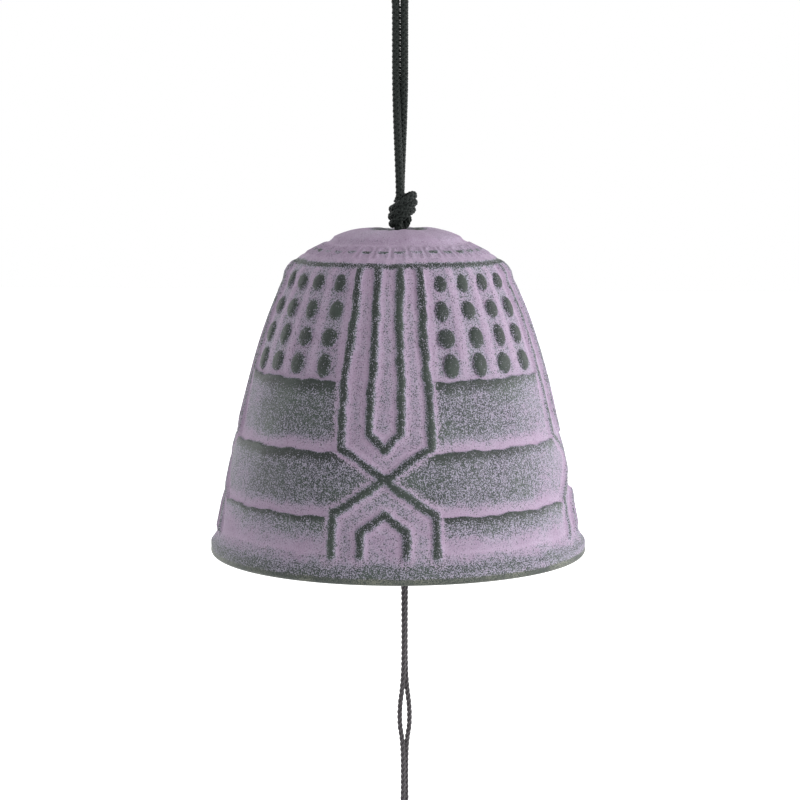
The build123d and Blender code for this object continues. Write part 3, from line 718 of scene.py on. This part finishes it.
def laid_cord_tree():
    """Lays yarns round a curve, all one way as a twist or both ways over and under as a braid."""
    tree = bpy.data.node_groups.new("laid_cord", "GeometryNodeTree")
    tree_socket(tree, "Geometry", "NodeSocketGeometry")
    names = {"Finish": tree_socket(tree, "Finish", "NodeSocketMaterial")}
    for name in ("Yarns", "Sides"):
        names[name] = tree_socket(tree, name, "NodeSocketInt")
    for name in ("Braided", "Lay Radius", "Lay Length", "Weave Depth", "Yarn Radius", "Step"):
        names[name] = tree_socket(tree, name, "NodeSocketFloat")
    source = tree.nodes.new("NodeGroupInput").outputs
    links = {"Curve": source["Geometry"], "Length": source["Step"]}
    even = add_node(tree, "GeometryNodeResampleCurve", links, mode="LENGTH")
    links = {"Geometry": even.outputs[0], "Amount": source["Yarns"]}
    copies = add_node(tree, "GeometryNodeDuplicateElements", links, domain="SPLINE")
    index = copies.outputs["Duplicate Index"]
    along = tree.nodes.new("GeometryNodeSplineParameter").outputs["Length"]
    odd = math_node(tree, "MODULO", index, 2.0)
    sign = math_node(tree, "MULTIPLY_ADD", math_node(tree, "MULTIPLY", odd, source["Braided"]), -2.0, 1.0)
    ways = math_node(tree, "ADD", source["Braided"], 1.0)
    rank = math_node(tree, "FLOOR", math_node(tree, "DIVIDE", index, ways))
    share = math_node(tree, "DIVIDE", ways, source["Yarns"])
    phase = math_node(tree, "MULTIPLY", math_node(tree, "MULTIPLY", rank, share), 2 * pi)
    turned = math_node(tree, "MULTIPLY", math_node(tree, "DIVIDE", along, source["Lay Length"]), 2 * pi)
    angle = math_node(tree, "MULTIPLY_ADD", turned, sign, phase)
    half = math_node(tree, "MULTIPLY", source["Yarns"], 0.5)
    over = math_node(tree, "COSINE", math_node(tree, "MULTIPLY", turned, half))
    depth = math_node(tree, "MULTIPLY", math_node(tree, "MULTIPLY", over, sign), source["Weave Depth"])
    reach = math_node(tree, "ADD", source["Lay Radius"], depth)
    normal = tree.nodes.new("GeometryNodeInputNormal").outputs["Normal"]
    tangent = tree.nodes.new("GeometryNodeInputTangent").outputs["Tangent"]
    across = vector_node(tree, "CROSS_PRODUCT", {0: tangent, 1: normal})
    first = math_node(tree, "MULTIPLY", reach, math_node(tree, "COSINE", angle))
    second = math_node(tree, "MULTIPLY", reach, math_node(tree, "SINE", angle))
    out_first = vector_node(tree, "SCALE", {0: normal, "Scale": first})
    out_second = vector_node(tree, "SCALE", {0: across, "Scale": second})
    shift = vector_node(tree, "ADD", {0: out_first, 1: out_second})
    links = {"Geometry": copies.outputs["Geometry"], "Offset": shift}
    moved = add_node(tree, "GeometryNodeSetPosition", links)
    links = {"Resolution": source["Sides"], "Radius": source["Yarn Radius"]}
    section = add_node(tree, "GeometryNodeCurvePrimitiveCircle", links)
    links = {"Curve": moved.outputs[0], "Profile Curve": section.outputs[0], "Fill Caps": True}
    skin = add_node(tree, "GeometryNodeCurveToMesh", links)
    end_tree(tree, skin.outputs[0], source["Finish"])
    return tree, names


cord_tree, cord_names = laid_cord_tree()
BRAID = {
    "Yarns": 8, "Braided": 1.0, "Lay Radius": 0.45 * MM, "Lay Length": 3.8 * MM, "Weave Depth": 0.07 * MM,
    "Yarn Radius": 0.26 * MM, "Step": 0.19 * MM, "Sides": 7, "Finish": cord_finish,
}
TWIST = {
    "Yarns": 3, "Braided": 0.0, "Lay Radius": 0.26 * MM, "Lay Length": 3.0 * MM, "Weave Depth": 0.0,
    "Yarn Radius": 0.215 * MM, "Step": 0.15 * MM, "Sides": 8, "Finish": string_finish,
}


def route_curve(name, points):
    """A smooth NURBS route through control points in millimetres."""
    curve = bpy.data.curves.new(name, "CURVE")
    curve.dimensions = "3D"
    curve.resolution_u = 24
    spline = curve.splines.new("NURBS")
    spline.points.add(len(points) - 1)
    for spot, (x, y, z) in zip(spline.points, points):
        spot.co = (x * MM, y * MM, z * MM, 1.0)
    spline.order_u = 3
    spline.use_endpoint_u = True
    return helper(name, curve)


def route_points(source):
    """Points along a route, read from its own curve."""
    evaluated = source.evaluated_get(bpy.context.evaluated_depsgraph_get())
    line = bpy.data.meshes.new_from_object(evaluated)
    points = [tuple(vertex.co) for vertex in line.vertices]
    bpy.data.meshes.remove(line)
    return points


def laid(name, points, lay):
    """Mesh of a laid cord along control points, with the points it follows."""
    source = route_curve(name + "_route", points)
    bpy.context.view_layer.update()
    followed = route_points(source)
    values = {cord_names[key]: value for key, value in lay.items()}
    mesh = made_mesh(name, source, cord_tree, values)
    mesh.shade_smooth()
    return mesh, followed


def joined(name, meshes):
    """One mesh of several."""
    stack = [helper(f"{name}_{index}", mesh) for index, mesh in enumerate(meshes)]
    bpy.context.view_layer.update()
    with bpy.context.temp_override(active_object=stack[0], selected_editable_objects=stack):
        bpy.ops.object.join()
    mesh = stack[0].data
    bpy.data.objects.remove(stack[0])
    mesh.name = name
    return mesh


def at(height):
    """The frame's Z of a height above the rim."""
    return RIM_Z + height


# Hanging cord, doubled over its hook

CORD_DIAMETER, CORD_SHIFT = 1.5, 0.35
STRAND_FOOT, STRAND_RISE, STRAND_HALF, STRAND_DEPTH = 64.6, 33.8, 0.71, 0.76
strand_lay = [(90, 0.0), (70, 0.18), (40, 0.39), (0, 0.57), (0, 0.8), (0, 1.0)]
strand = [(0.1, 0.55, at(60.2)), (0.05, 0.75, at(62.6))]
for turn, share in strand_lay:
    height = at(STRAND_FOOT) + STRAND_RISE * share
    strand.append((STRAND_HALF * cos(radians(turn)), STRAND_DEPTH * sin(radians(turn)), height))
left_strand = [(CORD_SHIFT - x, -y, z) for x, y, z in strand]
right_strand = [(CORD_SHIFT + x, y, z) for x, y, z in reversed(strand)]
loop_side = [(1.5, 0.0, -9.4), (2.6, 0.0, -6.0), (3.1, 0.0, -2.9), (2.75, 0.0, -0.75), (1.6, 0.0, 0.5)]
over_hook = [(-x, y, z) for x, y, z in loop_side] + [(0.0, 0.0, 0.9)] + loop_side[::-1]
cord_mesh, cord_line = laid("hanging_cord_skin", left_strand + over_hook + right_strand, BRAID)
hanging_cord = place_piece("hanging_cord", cord_mesh, None, "hanger", "dark_cord", "hang_cord")


# Knots in the hanging cord

WRAP_POINTS = 12


def wraps(turns, radius, low, high, tilt, start, centre=(0.0, 0.0), lean=0.0):
    """Control points of a cord wound round an axis, its turns tilted and drawn to one side on the way."""
    count = int(turns * WRAP_POINTS)
    points = []
    for step in range(count + 1):
        share = step / count
        turn = start + 2 * pi * turns * share
        reach = radius * (0.86 + 0.14 * sin(pi * share) + 0.06 * sin(2.3 * turn))
        height = low + (high - low) * share + tilt * sin(turn)
        points.append((centre[0] + lean * share + reach * sin(turn), centre[1] - reach * cos(turn), height))
    return points


crown_route = [(-0.2, 0.5, at(57.2)), (1.2, 0.9, at(58.0))]
crown_route += wraps(3.3, 1.92, at(58.8), at(63.1), tilt=0.95, start=2.2, centre=(0.55, 0.0), lean=0.45)
crown_route += [(0.9, 0.4, at(63.6)), (0.5, 0.2, at(62.5))]
crown_mesh, _ = laid("crown_knot_skin", crown_route, BRAID)
place_piece("crown_knot_wraps", crown_mesh, None, "knots", "dark_cord", "crown_knot")

through_meshes = []
for side_sign in (-1, 1):
    spots = ((0.0, 0.8, 52.0), (0.1, 0.82, 57.0), (0.2, 0.7, 63.0))
    route = [(x, side_sign * y, at(height)) for x, y, height in spots]
    through_meshes.append(laid("through_strand", route, BRAID)[0])
through_mesh = joined("through_cord_skin", through_meshes)
place_piece("through_strands", through_mesh, None, "knots", "dark_cord", "through_cord")

inner_route = [(0.6, 0.0, at(52.9))]
inner_route += wraps(3.1, 2.25, at(52.0), at(47.9), tilt=0.3, start=0.6)
inner_route += [(0.4, 0.6, at(47.6)), (0.2, 0.2, at(49.0)), (0.0, -0.6, at(51.5))]
inner_mesh, _ = laid("inner_knot_skin", inner_route, BRAID)
place_piece("inner_knot_wraps", inner_mesh, None, "knots", "dark_cord", "inner_knot")


# Thin string, from the hitch to the paper strip

STRING_X, STRING_DIAMETER = 1.15, 0.8
PULL_TOP, PULL_DROP, PULL_FOOT = 4.8, 52.4, -47.8
hitch_route = [(STRING_X, 0.0, at(46.6))]
hitch_route += wraps(2.4, 0.8, at(46.4), at(44.7), tilt=0.2, start=0.4, centre=(STRING_X, 0.0))
hitch_route += [(STRING_X, 0.3, at(44.6)), (STRING_X, 0.0, at(45.6))]
hitch_mesh, _ = laid("string_hitch_skin", hitch_route, TWIST)
place_piece("string_hitch_wraps", hitch_mesh, None, "hitch", "grey_string", "string_hitch")

for label, side_sign in (("left", -1), ("right", 1)):
    route = [(STRING_X + side_sign * x, side_sign * y, at(height)) for x, y, height in (
        (0.3, 0.1, 45.4), (0.44, 0.1, 42.0), (0.4, -0.2, 34.0), (0.44, 0.05, 26.0),
        (0.4, 0.2, 18.0), (0.44, 0.0, 12.0), (0.42, 0.0, 7.4),
    )]
    mesh, line = laid(f"clapper_string_{label}_skin", route, TWIST)
    piece = place_piece(f"clapper_string_{label}", mesh, None, "clapper", "grey_string", "clapper_string")

clapper_knot_route = [(STRING_X - 0.4, 0.0, at(8.0)), (STRING_X + 0.9, 0.6, at(7.8))]
clapper_knot_route += wraps(2.6, 1.3, at(7.5), at(5.7), tilt=0.3, start=1.2, centre=(STRING_X, 0.0))
clapper_knot_route += [(STRING_X + 0.5, 0.4, at(5.0)), (STRING_X, 0.2, at(5.8))]
clapper_knot_mesh, _ = laid("clapper_knot_skin", clapper_knot_route, TWIST)
place_piece("clapper_knot_wraps", clapper_knot_mesh, None, "clapper", "grey_string", "clapper_knot")

pull_lay = [
    (0.24, 0.40, 0.0), (0.14, 0.45, 0.20), (0.10, 0.46, 0.36), (0.12, 0.46, 0.50), (0.36, 0.34, 0.57),
    (0.74, 0.10, 0.62), (0.90, 0.00, 0.66), (0.86, 0.00, 0.71), (0.46, 0.20, 0.75), (0.24, 0.43, 0.80),
    (0.20, 0.44, 0.91), (0.30, 0.36, 1.0),
]
for label, side_sign in (("left", -1), ("right", 1)):
    route = [(STRING_X + side_sign * 0.3, side_sign * 0.3, at(6.4))]
    for x, y, share in pull_lay:
        route.append((STRING_X + side_sign * x, side_sign * y, at(PULL_TOP) - PULL_DROP * share))
    route.append((STRING_X + side_sign * 0.22, side_sign * 0.24, at(PULL_FOOT)))
    mesh, line = laid(f"pull_string_{label}_skin", route, TWIST)
    piece = place_piece(f"pull_string_{label}", mesh, None, "clapper", "grey_string", "pull_string")

strip_knot_route = [(STRING_X, 0.0, at(-47.6)), (STRING_X + 0.1, 0.0, at(-48.0))]
strip_knot_route += wraps(2.4, 0.82, at(-48.2), at(-50.0), tilt=0.2, start=0.8, centre=(STRING_X, 0.0))
strip_knot_route += [(STRING_X, 0.2, at(-49.6)), (STRING_X, 0.0, at(-48.8))]
strip_knot_mesh, _ = laid("strip_knot_skin", strip_knot_route, TWIST)
place_piece("strip_knot_wraps", strip_knot_mesh, None, "strip_tie", "grey_string", "strip_knot")

LOOP_TOP, LOOP_CENTRE, LOOP_RADIUS, LOOP_POINTS, LOOP_OFFSET = -49.6, -53.6, 3.26, 16, 0.2
loop_route = [(STRING_X - LOOP_OFFSET, -LOOP_OFFSET, at(LOOP_TOP))]
for step in range(1, LOOP_POINTS):
    turn = 2 * pi * step / LOOP_POINTS
    reach = LOOP_RADIUS * (1.0 + 0.03 * sin(3 * turn))
    loop_route.append((
        STRING_X - LOOP_OFFSET * cos(turn / 2), -reach * sin(turn), at(LOOP_CENTRE) + reach * cos(turn),
    ))
loop_route.append((STRING_X + LOOP_OFFSET, LOOP_OFFSET, at(LOOP_TOP)))
fine_twist = dict(TWIST, **{"Lay Radius": 0.2 * MM, "Yarn Radius": 0.19 * MM})
loop_mesh, _ = laid("strip_loop_skin", loop_route, fine_twist)
place_piece("strip_loop_string", loop_mesh, None, "strip_tie", "grey_string", "strip_loop")


# Clapper, a cast disc

CLAPPER_MIDDLE, CLAPPER_AROUND = 10.5, 96
clapper_line = [(1.5, 8.35), (2.2, 8.2), (6.0, 8.55), (9.2, 8.95)]
for step in range(9):
    turn = pi * step / 8 - pi / 2
    clapper_line.append((9.6 + 1.4 * cos(turn), CLAPPER_MIDDLE + 1.45 * sin(turn)))
clapper_line += [(9.2, 12.05), (6.0, 12.45), (2.2, 12.8), (1.5, 12.65)]
clapper_rings = []
for radius, height in clapper_line:
    ring = []
    for step in range(CLAPPER_AROUND):
        turn = 2 * pi * step / CLAPPER_AROUND
        cast = radius + (0.06 * sin(5 * turn + 1.0) + 0.03 * sin(13 * turn) if radius > 2 else 0.0)
        ring.append((STRING_X + cast * cos(turn), cast * sin(turn), at(height) + 0.03 * sin(3 * turn)))
    clapper_rings.append(ring)
clapper_mesh = grid_mesh("clapper_skin", np.array(clapper_rings))
clapper_mesh.shade_smooth()
place_piece("clapper_disc", clapper_mesh, iron_finish, "clapper", "bare_iron", "clapper")


# Paper strip, blank, with a punched hole and a slight curl

STRIP_TOP, STRIP_FOOT, STRIP_HALF = -53.6, -159.6, 18.0
HOLE_HEIGHT, HOLE_RADIUS, CELL = -57.8, 1.95, 1.5
HALF_COLUMNS, FREE_ROWS, PAPER_THICKNESS = 12, 67, 0.3


def strip_sheet():
    """A curled sheet of square cells, with the cells round the hole drawn in to its circle."""
    columns = [CELL * step for step in range(-HALF_COLUMNS, HALF_COLUMNS + 1)]
    block = [HOLE_HEIGHT + CELL * step for step in (2, 1, 0, -1, -2)]
    rows = [STRIP_TOP] + block + list(np.linspace(block[-1], STRIP_FOOT, FREE_ROWS)[1:])
    points = [(x, z) for z in rows for x in columns]
    wide = len(columns)
    middle = wide // 2
    faces = []
    for row in range(len(rows) - 1):
        for column in range(wide - 1):
            if 1 <= row <= 4 and middle - 2 <= column <= middle + 1:
                continue
            first = row * wide + column
            faces.append((first, first + 1, first + wide + 1, first + wide))
    edge = [(1, step) for step in range(-2, 2)] + [(row, 2) for row in range(1, 5)]
    edge += [(5, step) for step in range(2, -2, -1)] + [(row, -2) for row in range(5, 1, -1)]
    outside = [row * wide + middle + step for row, step in edge]
    previous = outside
    for share in (0.45, 1.0):
        ring = []
        for spot in outside:
            x, z = points[spot]
            turn = np.arctan2(z - HOLE_HEIGHT, x)
            near = (HOLE_RADIUS * cos(turn), HOLE_HEIGHT + HOLE_RADIUS * sin(turn))
            points.append((x + (near[0] - x) * share, z + (near[1] - z) * share))
            ring.append(len(points) - 1)
        for index in range(len(ring)):
            after = (index + 1) % len(ring)
            faces.append((previous[index], previous[after], ring[after], ring[index]))
        previous = ring
    used = sorted({spot for face in faces for spot in face})
    renumber = {spot: index for index, spot in enumerate(used)}
    bent = []
    for spot in used:
        x, z = points[spot]
        drop = max(HOLE_HEIGHT - z, 0.0) / (HOLE_HEIGHT - STRIP_FOOT)
        sideways = x / STRIP_HALF
        curl = 1.5 * drop * sideways ** 2 + 2.2 * drop ** 2 * sin(2.4 * drop)
        curl += 0.5 * drop * sin(4 * drop) * sideways
        bent.append(((STRING_X + x) * MM, -curl * MM, at(z) * MM))
    mesh = bpy.data.meshes.new("paper_strip_sheet")
    mesh.from_pydata(bent, [], [tuple(renumber[spot] for spot in face) for face in faces])
    mesh.update()
    return mesh


strip_source = helper("strip_source", strip_sheet())
thickness = strip_source.modifiers.new("paper", "SOLIDIFY")
thickness.thickness = PAPER_THICKNESS * MM
thickness.offset = 0.0
bpy.context.view_layer.update()
strip_solid = strip_source.evaluated_get(bpy.context.evaluated_depsgraph_get())
strip_skin = bpy.data.meshes.new_from_object(strip_solid)
bpy.data.objects.remove(strip_source)
strip_skin.name = "paper_strip_skin"
paper_strip = place_piece("paper_strip", strip_skin, paper_finish, "strip", "paper", "wind_strip")


# Stage

SENSOR, FOCAL_PIXELS, PHOTO_PIXELS = 36.0, 2374, 800
CAMERA_DISTANCE, CAMERA_ASIDE, CAMERA_HEIGHT, CAMERA_TILT = 0.420, 0.00032, -0.0315, 6.98
FLOOR_HALF, FLOOR_Z = 3, -0.292

camera_data = bpy.data.cameras.new("camera")
camera_data.lens = SENSOR * FOCAL_PIXELS / PHOTO_PIXELS
camera_data.sensor_width = SENSOR
camera_data.clip_start = 0.01
camera = bpy.data.objects.new("camera", camera_data)
scene.collection.objects.link(camera)
bearing = radians(4.5)
camera.location = (
    CAMERA_DISTANCE * sin(bearing) + CAMERA_ASIDE * cos(bearing),
    -CAMERA_DISTANCE * cos(bearing) + CAMERA_ASIDE * sin(bearing),
    CAMERA_HEIGHT,
)
camera.rotation_euler = (radians(90 - CAMERA_TILT), 0.0, bearing)
scene.camera = camera


def seen_directly(tree):
    """1 for rays from the camera, in reflections or through glass, and 0 for light on surfaces."""
    paths = tree.nodes.new("ShaderNodeLightPath").outputs
    seen = math_node(tree, "MAXIMUM", paths["Is Camera Ray"], paths["Is Glossy Ray"])
    return math_node(tree, "MAXIMUM", seen, paths["Is Transmission Ray"])


world = bpy.data.worlds.new("studio")
scene.world = world
world.use_nodes = True
tree = world.node_tree
seen = seen_directly(tree)
backdrop = tree.nodes["Background"]
backdrop.inputs["Color"].default_value = (1.0, 1.0, 1.0, 1.0)
tree.links.new(math_node(tree, "MULTIPLY_ADD", seen, 0.45, 0.55), backdrop.inputs["Strength"])

floor_mesh = bpy.data.meshes.new("floor")
corners = [(-1, -1), (1, -1), (1, 1), (-1, 1)]
floor_spots = [(FLOOR_HALF * x, FLOOR_HALF * y, FLOOR_Z) for x, y in corners]
floor_mesh.from_pydata(floor_spots, [], [(0, 1, 2, 3)])
floor = bpy.data.objects.new("floor", floor_mesh)
scene.collection.objects.link(floor)
floor_finish = bpy.data.materials.new("pale_floor")
floor_finish.use_nodes = True
tree = floor_finish.node_tree
shader = tree.nodes["Principled BSDF"]
shader.inputs["Base Color"].default_value = (0.9, 0.9, 0.9, 1.0)
shader.inputs["Roughness"].default_value = 0.9
seen = seen_directly(tree)
shader.inputs["Emission Color"].default_value = (1.0, 1.0, 1.0, 1.0)
tree.links.new(math_node(tree, "MULTIPLY", seen, 0.8), shader.inputs["Emission Strength"])
floor_mesh.materials.append(floor_finish)


def soft_light(name, place, aim, size, power):
    """A square area lamp aimed at a point."""
    lamp = bpy.data.lights.new(name, "AREA")
    lamp.size = size
    lamp.energy = power
    thing = bpy.data.objects.new(name, lamp)
    scene.collection.objects.link(thing)
    thing.location = place
    thing.rotation_euler = (Vector(aim) - Vector(place)).to_track_quat("-Z", "Y").to_euler()


bell_middle = (0.0, 0.0, -0.085)
soft_light("key", (0.85, -0.4, 0.12), bell_middle, 0.6, 6.3)
soft_light("fill", (-0.7, -0.6, 0.1), bell_middle, 0.8, 0.35)
soft_light("top", (0.1, 0.1, 0.8), bell_middle, 0.7, 1.2)
soft_light("rim_left", (-0.7, 0.35, 0.05), bell_middle, 0.6, 1.6)
soft_light("rim_right", (0.7, 0.4, 0.05), bell_middle, 0.6, 2.8)

scene.view_settings.view_transform = "Standard"
